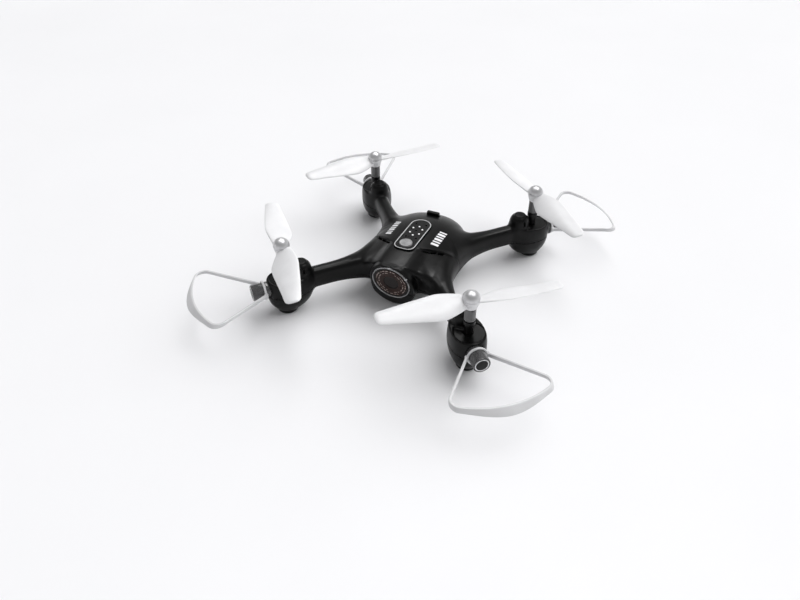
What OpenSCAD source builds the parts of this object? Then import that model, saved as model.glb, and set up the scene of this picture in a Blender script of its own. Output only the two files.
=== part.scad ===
// Mini palm drone: four geared rotors on slender arms, a front camera and wire guards.
// Millimetres. +Z is up, the nose points along -Y, the drone's left side is +X.
// The origin lies on the ground plane, midway between the four feet.

/* [Rotor layout] */
// Half of the spacing of the rotor axes across the drone
axis_x = 54.6; // [53:0.2:57]
// Half of the spacing of the rotor axes along the drone
axis_y = 56.8; // [55:0.2:59]
// Height of the rim of the spinner caps above the ground
rim_z = 43.4; // [42:0.2:46]
// Radius of the propellers
prop_r = 49; // [44:0.5:50]
// Radius of the spinner caps
cap_r = 4.6; // [4.2:0.1:5]

/* [Body] */
// Half width of the body
body_w = 28; // [26:0.5:30]
// Reach of the body behind its middle
body_rear = 41.5; // [40:0.5:43]
// Height of the crown of the body
crown_z = 33.9; // [33.4:0.1:34.4]
// Height of the widest line of the body
belt_z = 16.5; // [15:0.5:18]
// Height of the underside of the body
belly_z = 4.5; // [4.2:0.1:5]
// Height of the joint between the two shells
split_z = 13.6; // [13:0.1:14]
// Wall thickness of the shells
wall = 1.1; // [1:0.05:1.3]

/* [Arms and pods] */
// Half width of an arm at its slimmest
arm_w = 4.7; // [4.4:0.1:5.4]
// Angle of the arms from the X axis
arm_angle = 49.5; // [46:0.5:51]
// Half width of a rotor pod
pod_w = 9.6; // [9.4:0.1:10.2]
// Height of the rim of the open dish in a pod
dish_z = 21.5; // [21:0.1:22]
// Height of the top of the motor bump
bump_z = 29; // [28.6:0.1:29.4]
// Height of the axis of the lamps
lamp_z = 17; // [16.8:0.1:17.4]

/* [Camera] */
// Radius of the camera bezel
bezel_r = 11.6; // [11:0.1:12]
// Angle by which the camera looks down
camera_tilt = 10.5; // [8:0.5:13]

/* [Guards] */
// Radius of the top edge of a guard strap about its rotor axis
guard_r = 51.9; // [51.5:0.1:53]
// Half of the angle between the two corners of a guard strap
guard_half_angle = 25.5; // [24:0.5:27]
// Angle by which a guard strap is turned towards the nose or the tail
guard_skew = -1; // [-3:0.5:5]

/* [Drive] */
// Module of the gears
gear_module = 0.45; // [0.45]
// Teeth on a rotor's drive gear
gear_teeth = 30; // [30]
// Teeth on a motor's pinion
pinion_teeth = 8; // [8]

/* [Power button] */
// Travel of the power button
button_travel = 0.6; // [0.4:0.1:0.7]

/* [Hidden] */

$fn = 48;
e = 0.01;

// Corners of the drone, as the sides of X and Y on which each pod stands
FRONT_LEFT = [1, -1];
FRONT_RIGHT = [-1, -1];
REAR_LEFT = [1, 1];
REAR_RIGHT = [-1, 1];
CORNERS = [FRONT_LEFT, FRONT_RIGHT, REAR_LEFT, REAR_RIGHT];

// Rotors at the front left and the rear right turn clockwise seen from above
function turns_clockwise(corner) = corner.x * corner.y < 0;
// Direction of each propeller's blades at rest
function blade_angle(corner) =
    corner == FRONT_LEFT ? 42.6 : corner == FRONT_RIGHT ? -51.6 : corner == REAR_LEFT ? -45.6 : 54.5;

black = "#161617";
soft_black = "#202022";
white = "#f2f2f0";
grey = "#8c8c8e";
dark_grey = "#5c5c5e";
steel = "#b9bcc0";
board_green = "#1d5a34";

// Heights in the rotor stack, from the top down
hub_bottom = rim_z - 5.1;
sleeve_bottom = rim_z - 13;
flange_top = sleeve_bottom - 0.5;
flange_bottom = rim_z - 15.7;
dish_floor = dish_z - 2;
plate_top = 13;
plate_bottom = 11.8;
gear_top = 11.2;
gear_bottom = 9.2;
shaft_bottom = gear_bottom - 0.4;
shaft_top = rim_z - 0.6;
shaft_r = 0.75;
bush_r = 1.5;
bush_gap = 0.03;
neck_r = 2.3;
flange_r = 3.05;
sleeve_r = 3;

// The motor stands beside the rotor shaft, at the centre distance of the gears
motor_x = -gear_module * (gear_teeth + pinion_teeth) / 2;
motor_r = 3;
motor_top = bump_z - 4;
cup_r = motor_r + 0.5;
motor_shaft_r = 0.4;
bump_x = -9.3;

// Camera and its place on the nose
body_front = -32.6;
bezel_centre = [0, -34.2, 19.7];
nose_r = bezel_r + 1;
window_r = bezel_r - 1.2;

// Deck panel: a plate with a round rear end, set into the crown
panel_w = 6.2;
panel_front = -19.5;
panel_rear = 13.4;
panel_corner_r = 4.2;
panel_thick = 1.2;
panel_top = crown_z + 0.25;
button_r = 3.7;
button_y = -13.8;
button_rise = 0.8;
button_gap = 0.25;
stem_r = 1.4;
board_z = 24.6;
board_thick = 1.2;
switch_top = 28.4;

board_rear = 26;
board_pins = [[-11.4, 21.8], [11.4, 21.8], [-11.4, -16], [11.4, -16]];

battery_size = [19.6, 34, 7.6];
battery_y = 3.6;
battery_z = 7.6;
flat_z = 5.2;
hatch_size = [22.6, 40];
hatch_y = 5.4;
hatch_top = 6.6;
hatch_screw_y = 23.4;

lamp_r = 4.6;
lamp_start = 9.2;
lamp_end = 18.8;
lamp_wall = 0.7;
guard_ring_x = 12.6;
guard_ring_r = 5.9;
strap_top = 21.9;
strap_height = 3.4;
strap_flare = 3.4;
strap_thick = 1.3;
bar_height = 1.6;
guard_corner_r = 4.2;

screw_r = 0.8;
screw_head_r = 1.6;
screw_hole_r = 1.0;
boss_r = 2.2;
case_screw_x = 17;
case_screw_front_y = -21;
case_screw_rear_y = 25;
pod_screw_x = -16.2;
pod_screw_head_z = 11.6;
case_screw_head_z = 8.4;

// ---------- helpers ----------

function signed_power(v, p) = sign(v) * pow(abs(v), p);

// Closed surface through rings of points; every ring has the same number of points
module loft(rings) {
    n = len(rings[0]);
    last = len(rings) - 1;
    points = [for (ring = rings) each ring];
    sides = [
        for (j = [0:last - 1], i = [0:n - 1])
            let (a = j * n + i, b = j * n + (i + 1) % n, c = b + n, d = a + n)
                each [[a, c, b], [a, d, c]]
    ];
    bottom_cap = [for (i = [1:n - 2]) [0, i, i + 1]];
    top_cap = [for (i = [1:n - 2]) [last * n, last * n + i + 1, last * n + i]];
    polyhedron(points, concat(sides, bottom_cap, top_cap), convexity = 6);
}

// Rounded closed body: plan exponent p, height exponents q_up and q_down; every ring of points is
// turned by half a step from the one below. Below its widest line it reaches low_front forward. It is cut flat at front_clip in front and at top_clip above.
module super_egg(w, front, rear, up, down, p, q_up, q_down, n, steps, low_front = 0,
    front_clip = 1000, top_clip = 1000) {
    function level(t) = let (a = 180 * t / steps - 90) sin(a);
    function shrink(h, q) = pow(max(0.0006, 1 - pow(abs(h), q)), 1 / q);
    function reach(y, h) = y > 0 ? rear : h < -0.01 && low_front > 0 ? low_front : front;
    rings = [
        for (t = [0:steps])
            let (h = level(t), k = shrink(h, h > 0 ? q_up : q_down), z = h * (h > 0 ? up : down))
                [for (i = [0:n - 1])
                    let (a = 360 * (i - t / 2) / n, y = signed_power(sin(a), 2 / p))
                        [w * k * signed_power(cos(a), 2 / p),
                            max(-front_clip, reach(y, h) * k * y), min(top_clip, z)]]
    ];
    loft(rings);
}

module at_pod(corner) {
    translate([corner.x * axis_x, corner.y * axis_y, 0])
        rotate([0, 0, atan2(corner.y * sin(arm_angle), corner.x * cos(arm_angle))])
            children();
}

module at_pods() {
    for (corner = CORNERS)
        at_pod(corner)
            children();
}

// Frame of the camera: +Z along the line of sight, +Y up the bezel
module at_camera() {
    translate(bezel_centre)
        rotate([90 + camera_tilt, 0, 0])
            children();
}

module tube(outer, inner, z0, z1) {
    difference() {
        translate([0, 0, z0])
            cylinder(r = outer, h = z1 - z0);
        translate([0, 0, z0 - 1])
            cylinder(r = inner, h = z1 - z0 + 2);
    }
}

module rod(r, z0, z1) {
    translate([0, 0, z0])
        cylinder(r = r, h = z1 - z0);
}

module slab(x, y, z0, z1) {
    translate([-x / 2, -y / 2, z0])
        cube([x, y, z1 - z0]);
}

// Outline of the deck panel, grown by g
module panel_outline(g) {
    front_x = panel_w - panel_corner_r;
    translate([-panel_w - g, panel_front + panel_corner_r])
        square([2 * (panel_w + g), panel_rear - panel_w - panel_front - panel_corner_r]);
    translate([-front_x, panel_front - g])
        square([2 * front_x, panel_corner_r + g + e]);
    translate([0, panel_rear - panel_w])
        circle(r = panel_w + g);
    for (side = [-1, 1])
        translate([side * front_x, panel_front + panel_corner_r])
            circle(r = panel_corner_r + g);
}

// ---------- outer form of the shells, drawn in by d for the cavity ----------

// The upper half runs full to the front and is cut off above the camera; the lower half draws in
module body_form(d) {
    up = crown_z - belt_z - d;
    down = belt_z - belly_z - (d == 0 ? 0 : d + flat_z - belly_z);
    translate([0, 0, belt_z])
        super_egg(body_w - d, 70 - d, body_rear - d, up, down, 2.35, 2.1, 2.8, d == 0 ? 30 : 16, d == 0 ? 11 : 8,
            low_front = 33.5 - d, front_clip = -body_front - d);
}

// Rounded nacelle behind the camera bezel
module nose_form(d) {
    at_camera()
        hull() {
            translate([0, 0, -20])
                cylinder(r = nose_r + 0.5 - d, h = 1, $fn = d == 0 ? 28 : 16);
            translate([0, -0.3, -1.2 - d])
                cylinder(r = nose_r - d, h = 1, $fn = d == 0 ? 28 : 16);
            translate([0, -4, -3])
                cylinder(r = nose_r + 0.4 - d, h = 1, $fn = d == 0 ? 28 : 16);
        }
}

// Cross-section of an arm at distance s from the rotor axis, flared at both ends
function arm_flare(s) = pow(max(0, (s - 26) / 30), 2);
function arm_half_width(s) = arm_w + 7 * arm_flare(s) + 0.9 * pow(max(0, (16 - s) / 8), 2);
function arm_top(s) = 23.6 + 3 * arm_flare(s) - 1.6 * pow(max(0, (16 - s) / 8), 2);
function arm_bottom(s) = 11.2 - 4 * arm_flare(s) - 1.5 * pow(max(0, (18 - s) / 10), 2);

// Each cross-section of an arm is a rounded rectangle, turned by half a step from the one before
module arm_form(d) {
    n = d == 0 ? 14 : 8;
    stations = d == 0 ? [6, 12, 17, 24, 33, 42, 50, 58] : [6, 14, 24, 42, 52, 59];
    rings = [
        for (t = [0:len(stations) - 1])
            let (s = stations[t], w = arm_half_width(s) - d, top = arm_top(s) - d, low = arm_bottom(s) + d)
                [for (i = [0:n - 1])
                    let (a = 360 * (i - t / 2) / n)
                        [-s, -w * signed_power(cos(a), 0.8),
                            (top + low) / 2 + (top - low) / 2 * signed_power(sin(a), 0.8)]]
    ];
    loft(rings);
}

module pod_form(d) {
    top = d == 0 ? dish_z : dish_floor - d;
    translate([-1.2, 0, 15.5])
        rotate([0, 0, 90])
            super_egg(pod_w - d, 12.9 - d, 14.2 - d, 14.5 - d, 14 - d, 2.2, 2.3, 3, d == 0 ? 20 : 12, d == 0 ? 9 : 6,
                top_clip = top - 15.5);
}

// Housing of the motor, standing above the inboard half of a pod
module bump_form(d) {
    translate([bump_x, 0, 17])
        super_egg(5.9 - d, 6 - d, 6.2 - d, bump_z - 17 - d, 4, 2, 4, 2, d == 0 ? 16 : 10, 6);
}

// Foot with a flat sole
module foot_form() {
    translate([0.8, 0, 0])
        hull() {
            cylinder(r = 5.2, h = 0.6, $fn = 18);
            translate([0, 0, 0.6])
                cylinder(r = 5.8, h = 1, $fn = 18);
            translate([0, 0, 3.6])
                cylinder(r = 6.6, h = 2, $fn = 18);
        }
}

// Shallow air scoops on both sides of the ridge that runs to the nose
module scoops(d) {
    for (side = [-1, 1])
        hull() {
            translate([side * 17, -12, 30.6 - d])
                cube([14 + 2 * d, 2, 0.6], center = true);
            translate([side * 17, -12, 40])
                cube([15 + 2 * d, 2, 1], center = true);
            translate([side * 16.5, -36, 28.6 - d])
                cube([11 + 2 * d, 4, 0.6], center = true);
            translate([side * 16.5, -36, 40])
                cube([13 + 2 * d, 4, 1], center = true);
        }
}

module outer_form() {
    difference() {
        body_form(0);
        scoops(0);
    }
    nose_form(0);
    at_pods() {
        arm_form(0);
        difference() {
            pod_form(0);
            translate([1, 0, dish_floor])
                cylinder(r = 8.6, h = 10, $fn = 22);
        }
        bump_form(0);
        foot_form();
    }
}

module inner_form() {
    difference() {
        body_form(wall);
        scoops(wall);
    }
    nose_form(wall);
    at_pods() {
        arm_form(wall);
        pod_form(wall);
        bump_form(wall);
    }
}

// Cylinders at the screw places, from body_z in the body and from arm_z in the arms up to top
module at_screws(body_z, arm_z, top, r) {
    for (side = [-1, 1], y = [case_screw_front_y, case_screw_rear_y])
        translate([side * case_screw_x, y, body_z])
            cylinder(r = r, h = top - body_z, $fn = 12);
    at_pods()
        translate([pod_screw_x, 0, arm_z])
            cylinder(r = r, h = top - arm_z, $fn = 12);
}

// Holes that pass through both shells: lamp sockets and the camera port
module ports() {
    at_pods()
        translate([lamp_start - 2, 0, lamp_z])
            rotate([0, 90, 0])
                cylinder(r = lamp_r + 0.15, h = 8, $fn = 20);
    at_camera()
        translate([0, 0, -6])
            cylinder(r = bezel_r + 0.15, h = 12, $fn = 30);
}

// Pins that carry the main board
module board_posts() {
    for (p = board_pins)
        translate([p.x, p.y, 0]) {
            rod(1.7, board_z + board_thick, 40);
            rod(0.9, board_z - 0.5, 40);
        }
}

// Ribs between which the camera board slides
module camera_ribs() {
    at_camera()
        for (side = [-1, 1])
            translate([side * 8.1, 0, -12])
                cube([1.2, 40, 3], center = true);
}

module upper_shell() {
    $fn = 16;
    color(black)
        difference() {
            union() {
                difference() {
                    outer_form();
                    inner_form();
                }
                intersection() {
                    union() {
                        at_screws(split_z, split_z, 40, boss_r);
                        board_posts();
                        camera_ribs();
                    }
                    outer_form();
                }
            }
            translate([-100, -100, -1])
                cube([200, 200, split_z + 1]);
            ports();
            at_screws(split_z - 1, split_z - 1, split_z + 6, screw_hole_r);
            translate([0, 0, panel_top - panel_thick])
                linear_extrude(height = 5)
                    panel_outline(0.15);
            translate([0, 0, 25])
                linear_extrude(height = 10)
                    panel_outline(-1.4);
            translate([0, 27, 31])
                cube([8.2, 2.6, 4], center = true);
            at_pods() {
                rod(neck_r + 0.1, dish_floor - 3, dish_floor + 3);
                for (side = [-1, 1])
                    translate([bump_x, side * 5.4, 25.6])
                        cube([1.2, 3, 2.4], center = true);
            }
        }
}

module lower_shell() {
    $fn = 16;
    color(black)
        difference() {
            union() {
                difference() {
                    outer_form();
                    inner_form();
                }
                intersection() {
                    union() {
                        at_screws(0, 0, split_z, boss_r);
                        translate([0, hatch_y, 0])
                            slab(hatch_size.x + 3, hatch_size.y + 3, flat_z, hatch_top + 0.9);
                    }
                    outer_form();
                }
                at_pods()
                    foot_form();
            }
            translate([0, 0, -1])
                slab(60, 76, 0, flat_z + 1);
            translate([-100, -100, split_z])
                cube([200, 200, 60]);
            ports();
            at_screws(-1, -1, split_z + 1, screw_hole_r);
            for (side = [-1, 1], y = [case_screw_front_y, case_screw_rear_y])
                translate([side * case_screw_x, y, 0])
                    rod(screw_head_r + 0.2, -1, case_screw_head_z + 0.9);
            at_pods()
                translate([pod_screw_x, 0, 0])
                    rod(screw_head_r + 0.2, -1, pod_screw_head_z + 0.9);
            translate([0, hatch_screw_y, 0])
                rod(screw_hole_r, 0, hatch_top + 2);
            translate([0, hatch_y, 0]) {
                slab(hatch_size.x + 0.3, hatch_size.y + 0.3, 0, hatch_top);
                slab(hatch_size.x - 2.4, hatch_size.y - 5, 0, hatch_top + 2);
            }
        }
}

// ---------- deck ----------

light_spots = [for (i = [0:5]) [3.3 * sin(60 * i), 0.7 + 4.9 * cos(60 * i)]];
vent_spots = [[-3.2, 8.2], [3.2, 8.2], [0, 0.9], [-3.2, -6.9], [3.2, -6.9]];

module deck_panel() {
    color(soft_black)
        difference() {
            union() {
                translate([0, 0, panel_top - panel_thick])
                    linear_extrude(height = panel_thick)
                        panel_outline(0);
                translate([0, button_y, panel_top - 2.4])
                    cylinder(r = button_r + 0.7, h = 2);
            }
            for (p = light_spots)
                translate([p.x, p.y, 20])
                    cylinder(r = 0.6, h = 20);
            for (p = vent_spots)
                translate([p.x, p.y, 20])
                    cylinder(r = 0.65, h = 20);
            translate([0, button_y, 20])
                cylinder(r = button_r + button_gap, h = 20);
        }
}

module deck_lights() {
    color(white)
        for (p = light_spots)
            translate([p.x, p.y, panel_top - panel_thick - 1])
                cylinder(r = 0.55, h = panel_thick + 1.15);
}

module power_button() {
    color(grey)
        translate([0, button_y, 0]) {
            rod(button_r, panel_top - 1.8, panel_top + button_rise);
            rod(stem_r, switch_top + button_travel + 0.05, panel_top - 1.8 + e);
        }
}

module main_board() {
    color(board_green)
        difference() {
            union() {
                translate([-13.5, -20, board_z])
                    cube([27, board_rear + 20, board_thick]);
                translate([-4, 6, board_z + board_thick - e])
                    cube([8, 8, 1]);
                translate([-9, -6, board_z + board_thick - e])
                    cube([5, 5, 0.9]);
            }
            for (p = board_pins)
                translate([p.x, p.y, 0])
                    rod(0.95, board_z - 1, board_z + 4);
        }
}

module tact_switch() {
    color(soft_black)
        translate([0, button_y, 0]) {
            slab(6, 6, board_z + board_thick, switch_top - 0.8);
            rod(1.2, switch_top - 0.8 - e, switch_top);
        }
}

module battery() {
    color("#c9ccd2")
        translate([0, battery_y, 0])
            slab(battery_size.x, battery_size.y, battery_z, battery_z + battery_size.z);
}

// Plug on the rear end of the battery and the two wires up to the board
module battery_lead() {
    color("#b02a20")
        translate([0, battery_y + battery_size.y / 2 + 1.2, 0]) {
            slab(6, 2.4, battery_z + 1.5, battery_z + 5);
            for (side = [-1, 1])
                translate([side * 1.4, 0, 0])
                    rod(0.7, battery_z + 5 - e, board_z);
        }
}

module battery_hatch() {
    color(soft_black)
        difference() {
            translate([0, hatch_y, 0])
                slab(hatch_size.x, hatch_size.y, flat_z, hatch_top);
            translate([0, hatch_screw_y, 0])
                rod(screw_r + 0.15, 0, 20);
            for (i = [-2:2])
                translate([0, hatch_y - 14 + 1.8 * i, flat_z])
                    cube([12, 0.7, 0.8], center = true);
        }
}

module hatch_screw() {
    color(steel)
        translate([0, hatch_screw_y, 0])
            difference() {
                union() {
                    rod(screw_head_r, flat_z - 0.7, flat_z);
                    rod(screw_r, flat_z - e, hatch_top + 0.9);
                }
                translate([0, 0, flat_z - 0.7])
                    cube([2, 0.4, 0.7], center = true);
            }
}

// One pan-head screw with a slot, its head starting at head_z
module case_screw(head_z) {
    difference() {
        union() {
            rod(screw_head_r, head_z, head_z + 0.88);
            rod(screw_r, head_z + 0.87, split_z + 5);
        }
        translate([0, 0, head_z + 0.1])
            cube([2, 0.4, 0.8], center = true);
    }
}

module case_screws() {
    color(steel) {
        for (side = [-1, 1], y = [case_screw_front_y, case_screw_rear_y])
            translate([side * case_screw_x, y, 0])
                case_screw(case_screw_head_z);
        at_pods()
            translate([pod_screw_x, 0, 0])
                case_screw(pod_screw_head_z);
    }
}

module port_cover() {
    color(black)
        translate([0, 27, 0])
            slab(8, 2.4, 29.4, 32.4);
}

// ---------- camera ----------

module camera_bezel() {
    color(steel)
        at_camera() {
            tube(bezel_r, window_r, -1.6, 0.3);
            rotate([0, 0, 33])
                translate([window_r + 0.2, -0.9, -0.15])
                    cube([2.1, 1.8, 0.45]);
        }
}

module camera_window() {
    color("#1c1210")
        at_camera()
            rod(window_r - 0.04, -1.4, -0.5);
}

module camera_module() {
    color(soft_black)
        at_camera() {
            tube(3.6, 2.9, -7, -1.9);
            rod(3.1, -6.99, -3.4);
            slab(8.5, 8.5, -11, -6.98);
        }
}

module camera_board() {
    color(board_green)
        at_camera()
            slab(15, 13, -12.2, -11);
}

// ---------- rotors ----------

// Blade outline: distance out as a fraction, then chord, twist and centre offset
function blade_chord(u) = lookup(u, [[0, 5.5], [0.08, 8], [0.2, 14], [0.28, 15.6], [0.4, 14.8], [1, 9.2]]);
function blade_twist(u) = lookup(u, [[0, 24], [0.3, 20], [1, 9]]);
function blade_sweep(u) = lookup(u, [[0, 0.2], [0.1, -0.6], [0.28, -1.6], [1, 0]]);

blade_root = 2.2;
blade_z = rim_z - 0.9;

// One blade along +X with its leading edge towards +Y
module blade() {
    stations = [0, 0.08, 0.14, 0.2, 0.28, 0.4, 0.6, 0.8, 0.95, 1];
    rings = [
        for (u = stations)
            let (chord = blade_chord(u) * (u == 1 ? 0.72 : 1), thick = 1.5 - 0.8 * min(1, u * 1.6))
                [for (k = [0:9])
                    let (a = 36 * k, c = cos(a) * chord / 2, camber = 0.9 * (1 - pow(cos(a), 2)),
                        h = sin(a) * thick / 2 + camber, t = blade_twist(u))
                        [blade_root + u * (prop_r - blade_root),
                            blade_sweep(u) + c * cos(t) - h * sin(t),
                            blade_z - 0.6 + c * sin(t) + h * cos(t)]]
    ];
    loft(rings);
}

module hub_solid() {
    translate([0, 0, hub_bottom])
        cylinder(r1 = 3.3, r2 = cap_r - 0.15, h = 4.1);
    rod(cap_r - 0.15, hub_bottom + 4.09, rim_z - 0.1);
}

module propeller(corner) {
    color(white)
        translate([corner.x * axis_x, corner.y * axis_y, 0])
            rotate([0, 0, blade_angle(corner)])
                mirror([0, turns_clockwise(corner) ? 1 : 0, 0])
                    difference() {
                        union() {
                            hub_solid();
                            blade();
                            rotate([0, 0, 180])
                                blade();
                        }
                        rod(shaft_r, hub_bottom - 1, rim_z + 5);
                        rod(cap_r + 0.1, rim_z - 0.02, rim_z + 5);
                    }
}

module spinner_cap(corner) {
    color(grey)
        translate([corner.x * axis_x, corner.y * axis_y, rim_z])
            intersection() {
                sphere(r = cap_r);
                cylinder(r = 10, h = 10);
            }
}

module sleeve(corner) {
    color(dark_grey)
        at_pod(corner)
            tube(sleeve_r, shaft_r, sleeve_bottom, hub_bottom - 0.02);
}

module shaft(corner) {
    color(steel)
        at_pod(corner)
            rod(shaft_r, shaft_bottom, shaft_top);
}

// ---------- gears ----------

pressure_angle = 20;
backlash = 0.16;
gear_tip = gear_module * (gear_teeth / 2 + 0.9);
pinion_tip = gear_module * (pinion_teeth / 2 + 0.95);
function involute_angle(r, base) = r <= base ? 0 : sqrt(pow(r / base, 2) - 1) * 180 / PI - acos(base / r);
function polar(r, a) = [r * cos(a), r * sin(a)];

// Outline of a spur gear with involute flanks; the flanks are drawn in by half the backlash
function gear_outline(teeth, tip, root, backlash) =
    let (pitch = gear_module * teeth / 2, base = pitch * cos(pressure_angle),
        half = 90 / teeth - backlash * 90 / (PI * pitch) + involute_angle(pitch, base),
        r0 = max(root, base), radii = [root, r0 + 0.02, (r0 + pitch) / 2, pitch, (pitch + tip) / 2, tip])
        [for (k = [0:teeth - 1])
            each concat(
                [for (r = radii) polar(r, 360 * k / teeth - half + involute_angle(r, base))],
                [for (j = [5:-1:0]) polar(radii[j], 360 * k / teeth + half - involute_angle(radii[j], base))])];

module drive_gear(corner) {
    color(white)
        at_pod(corner)
            difference() {
                union() {
                    translate([0, 0, gear_bottom])
                        linear_extrude(height = gear_top - gear_bottom)
                            polygon(gear_outline(gear_teeth, gear_tip, gear_tip - 1, backlash));
                    rod(1.9, gear_top - e, gear_top + 0.4);
                }
                rod(shaft_r, gear_bottom - 1, gear_top + 2);
            }
}

// Pinion and the motor shaft on which it is pressed
module pinion(corner) {
    color("#c8a24a")
        at_pod(corner)
            translate([motor_x, 0, gear_bottom - 0.2])
                rotate([0, 0, 180 / pinion_teeth]) {
                    linear_extrude(height = gear_top - gear_bottom + 0.2)
                        polygon(gear_outline(pinion_teeth, pinion_tip, pinion_tip - 1, backlash));
                    rod(motor_shaft_r, 1, 10);
                }
}

module motor(corner) {
    color(steel)
        at_pod(corner)
            translate([motor_x, 0, 0])
                difference() {
                    rod(motor_r, plate_top, motor_top);
                    rod(motor_shaft_r + bush_gap, plate_top - 1, motor_top - 1.5);
                    for (side = [-1, 1])
                        translate([0, side * (motor_r + 1.1), (plate_top + motor_top) / 2])
                            cube([4, 3, 20], center = true);
                }
}

module motor_mount(corner) {
    color(soft_black)
        at_pod(corner)
            difference() {
                union() {
                    rod(4.6, plate_bottom, plate_top);
                    translate([motor_x, 0, 0])
                        rod(cup_r, plate_bottom, plate_top + 8);
                    translate([motor_x, -3, plate_bottom])
                        cube([-motor_x, 6, plate_top - plate_bottom]);
                    rod(neck_r, plate_bottom, flange_bottom + e);
                    rod(flange_r, flange_bottom, flange_top);
                }
                rod(shaft_r + 0.4, plate_bottom - 1, flange_top + 1);
                rod(bush_r, flange_top - 2.5, flange_top + 1);
                rod(bush_r, plate_bottom - 1, plate_bottom + 2.5);
                translate([motor_x, 0, 0]) {
                    rod(motor_r + 0.05, plate_top, plate_top + 9);
                    rod(1.2, plate_bottom - 1, plate_top + 1);
                }
            }
}

module shaft_bushes() {
    color("#c98b3c")
        at_pods() {
            tube(bush_r, shaft_r + bush_gap, flange_top - 2.5, flange_top);
            tube(bush_r, shaft_r + bush_gap, plate_bottom + 0.2, plate_bottom + 2.5);
        }
}

module motor_leads() {
    color("#2a4fa0")
        at_pods()
            for (side = [-1, 1])
                translate([-15, side * 2.7, 17])
                    rotate([0, -90, 0])
                        cylinder(r = 0.5, h = 42, $fn = 16);
}

// ---------- lamps and guards ----------

module lamp(corner) {
    color([0.25, 0.25, 0.26, 0.6])
        at_pod(corner)
            translate([0, 0, lamp_z])
                rotate([0, 90, 0])
                    difference() {
                        rod(lamp_r, lamp_start, lamp_end);
                        rod(lamp_r - lamp_wall, lamp_start - 1, lamp_end - 1);
                    }
}

// Path of a guard wire, from the collar out along a bar, round a corner and along the strap.
// Each station holds the plan position, the outward direction, the top height, height and flare.
corner_r = guard_corner_r - strap_thick / 2;
strap_r = guard_r - strap_thick / 2;
knuckle = [guard_ring_x + 0.6, guard_ring_r - 0.3];

function direction(a) = [cos(a), sin(a)];
function bar_angle(centre, side) =
    let (span = centre - [knuckle.x, side * knuckle.y])
        atan2(span.y, span.x) + side * asin(corner_r / norm(span));
function eased(t) = t * t * (3 - 2 * t);

function half_path(side, skew) =
    let (tip = side * guard_half_angle + skew, centre = polar(strap_r - corner_r, tip),
        bar = bar_angle(centre, side), foot = [knuckle.x, side * knuckle.y],
        meet = centre + corner_r * direction(bar + side * 90))
        concat(
            [for (t = [0, 0.1, 0.3, 0.6, 0.9])
                [foot + t * (meet - foot), direction(bar + side * 90),
                    lamp_z + 1 + (strap_top - lamp_z - 1) * t, bar_height + 0.5 * (1 - t), 0]],
            [for (t = [0:0.125:0.99])
                let (a = bar + side * 90 + t * (tip - bar - side * 90))
                    [centre + corner_r * direction(a), direction(a), strap_top,
                        bar_height + 0.8 * eased(t), 1.3 * eased(t)]],
            [for (t = [0:0.1:0.99])
                let (a = tip + t * (skew - tip))
                    [polar(strap_r, a), direction(a), strap_top,
                        bar_height + 0.8 + (strap_height - bar_height - 0.8) * eased(t),
                        1.3 + (strap_flare - 1.3) * eased(t)]]);

function wire_section(p) =
    let (half = strap_thick / 2, low = p[2] - p[3])
        [for (k = [[p[4] - half, low], [half + p[4], low], [half, p[2]], [-half, p[2]]])
            let (xy = p[0] + k[0] * p[1])
                [xy.x, xy.y, k[1]]];

module guard(corner) {
    skew = guard_skew * corner.x * corner.y;
    first = half_path(1, skew);
    second = half_path(-1, skew);
    path = concat(
        first,
        [[polar(strap_r, skew), direction(skew), strap_top, strap_height, strap_flare]],
        [for (i = [len(second) - 1:-1:0]) second[i]]);
    color(white)
        at_pod(corner) {
            translate([0, 0, lamp_z])
                rotate([0, 90, 0])
                    tube(guard_ring_r, lamp_r, guard_ring_x, guard_ring_x + 1.2);
            loft([for (p = path) wire_section(p)]);
        }
}

upper_shell();
lower_shell();
deck_panel();
deck_lights();
power_button();
main_board();
tact_switch();
battery();
battery_lead();
battery_hatch();
hatch_screw();
case_screws();
port_cover();
camera_bezel();
camera_window();
camera_module();
camera_board();
shaft_bushes();
motor_leads();
propeller(FRONT_LEFT);  // propeller_front_left
propeller(FRONT_RIGHT);  // propeller_front_right
propeller(REAR_LEFT);  // propeller_rear_left
propeller(REAR_RIGHT);  // propeller_rear_right
spinner_cap(FRONT_LEFT);  // cap_front_left
spinner_cap(FRONT_RIGHT);  // cap_front_right
spinner_cap(REAR_LEFT);  // cap_rear_left
spinner_cap(REAR_RIGHT);  // cap_rear_right
sleeve(FRONT_LEFT);  // sleeve_front_left
sleeve(FRONT_RIGHT);  // sleeve_front_right
sleeve(REAR_LEFT);  // sleeve_rear_left
sleeve(REAR_RIGHT);  // sleeve_rear_right
shaft(FRONT_LEFT);  // shaft_front_left
shaft(FRONT_RIGHT);  // shaft_front_right
shaft(REAR_LEFT);  // shaft_rear_left
shaft(REAR_RIGHT);  // shaft_rear_right
drive_gear(FRONT_LEFT);  // drive_gear_front_left
drive_gear(FRONT_RIGHT);  // drive_gear_front_right
drive_gear(REAR_LEFT);  // drive_gear_rear_left
drive_gear(REAR_RIGHT);  // drive_gear_rear_right
pinion(FRONT_LEFT);  // pinion_front_left
pinion(FRONT_RIGHT);  // pinion_front_right
pinion(REAR_LEFT);  // pinion_rear_left
pinion(REAR_RIGHT);  // pinion_rear_right
motor(FRONT_LEFT);  // motor_front_left
motor(FRONT_RIGHT);  // motor_front_right
motor(REAR_LEFT);  // motor_rear_left
motor(REAR_RIGHT);  // motor_rear_right
motor_mount(FRONT_LEFT);  // motor_mount_front_left
motor_mount(FRONT_RIGHT);  // motor_mount_front_right
motor_mount(REAR_LEFT);  // motor_mount_rear_left
motor_mount(REAR_RIGHT);  // motor_mount_rear_right
lamp(FRONT_LEFT);  // lamp_front_left
lamp(FRONT_RIGHT);  // lamp_front_right
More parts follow.
